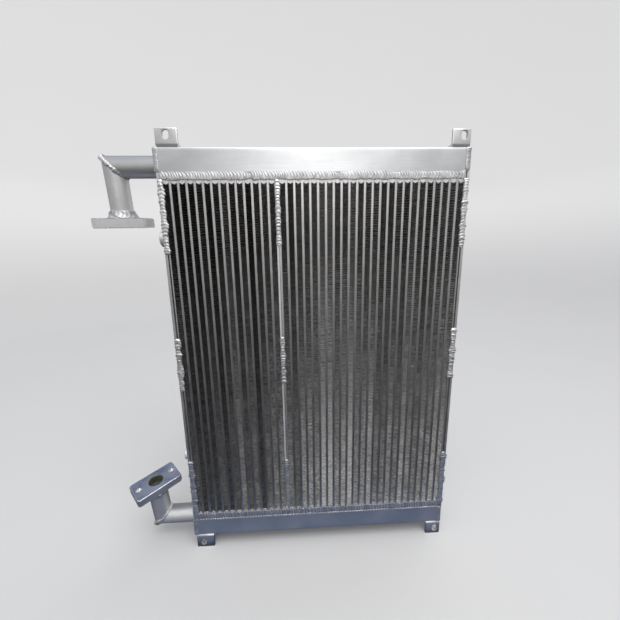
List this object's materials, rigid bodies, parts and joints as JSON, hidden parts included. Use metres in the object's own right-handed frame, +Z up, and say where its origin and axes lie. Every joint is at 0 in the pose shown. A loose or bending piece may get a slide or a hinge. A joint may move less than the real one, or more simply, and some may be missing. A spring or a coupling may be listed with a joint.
{
  "type": "hydraulic oil cooler",
  "caption": "Brazed aluminium bar-and-plate oil cooler with box tanks, slotted mounting tabs and two elbowed ports ending in two-bolt flange blocks.",
  "frame": {"origin": "on the lower left tab's front face, 10 mm under the middle of its slot", "axes": "+Z up from the bottom tank to the top tank, +X across the core away from the ports, -Y out of the face the tabs are level with"},
  "size_m": [0.6411, 0.1022, 0.7876],
  "materials": {
    "fins": "thin folded sheet, dark between the folds",
    "core": "furnace-brazed, dull satin",
    "plates": "mill finish plate",
    "tanks": "mill finish, lengthwise grain, hand-welded seams",
    "tubes": "satin drawn tube",
    "flanges": "machined block"
  },
  "bodies": {
    "root": {"air_fin_01": "fins", "air_fin_02": "fins", "air_fin_03": "fins", "air_fin_04": "fins", "air_fin_05": "fins", "air_fin_06": "fins", "air_fin_07": "fins", "air_fin_08": "fins", "air_fin_09": "fins", "air_fin_10": "fins", "air_fin_11": "fins", "air_fin_12": "fins", "air_fin_13": "fins", "air_fin_14": "fins", "air_fin_15": "fins", "air_fin_16": "fins", "air_fin_17": "fins", "air_fin_18": "fins", "air_fin_19": "fins", "air_fin_20": "fins", "air_fin_21": "fins", "air_fin_22": "fins", "air_fin_23": "fins", "air_fin_24": "fins", "air_fin_25": "fins", "air_fin_26": "fins", "air_fin_27": "fins", "air_fin_28": "fins", "air_fin_29": "fins", "air_fin_30": "fins", "air_fin_31": "fins", "air_fin_32": "fins", "air_fin_33": "fins", "air_fin_34": "fins", "air_fin_35": "fins", "air_fin_36": "fins", "air_fin_37": "fins", "air_fin_38": "fins", "boss_lower": "flanges", "boss_upper": "flanges", "end_cap_bottom_left": "tanks", "end_cap_bottom_right": "tanks", "end_cap_top_left": "tanks", "end_cap_top_right": "tanks", "lower_port_flange": "flanges", "lower_port_riser": "tubes", "lower_port_stub": "tubes", "passages_left": "core", "passages_right": "core", "side_plate_left": "plates", "side_plate_right": "plates", "tab_bottom_left": "plates", "tab_bottom_right": "plates", "tab_top_left": "plates", "tab_top_right": "plates", "tank_bottom": "tanks", "tank_top": "tanks", "upper_port_drop": "tubes", "upper_port_flange": "flanges", "upper_port_stub": "tubes"}
  },
  "joints": []
}
